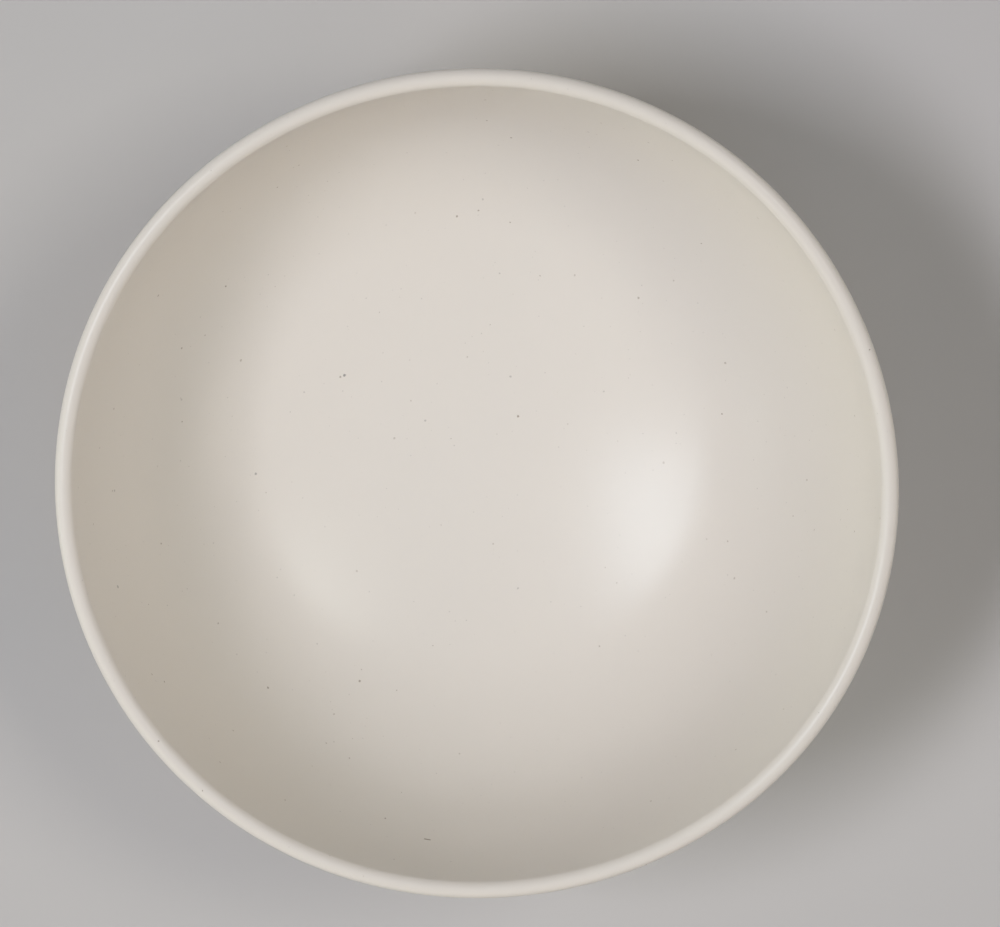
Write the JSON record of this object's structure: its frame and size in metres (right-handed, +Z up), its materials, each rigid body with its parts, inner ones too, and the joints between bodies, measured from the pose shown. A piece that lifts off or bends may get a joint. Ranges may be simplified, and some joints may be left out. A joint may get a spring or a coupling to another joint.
{
  "type": "evaporating dish",
  "caption": "Deep round open bowl of satin white ceramic with a full-round lip and a flat base, for evaporating liquids.",
  "frame": {"origin": "centre of the flat base, where it meets the surface it stands on", "axes": "+Z up along the axis the dish was turned about, out of its mouth; X and Y lie in the base plane"},
  "size_m": [0.2996, 0.2997, 0.12],
  "materials": {
    "stoneware": "satin-matt warm white, with fine iron specks"
  },
  "bodies": {
    "root": {"dish": "stoneware"}
  },
  "joints": []
}
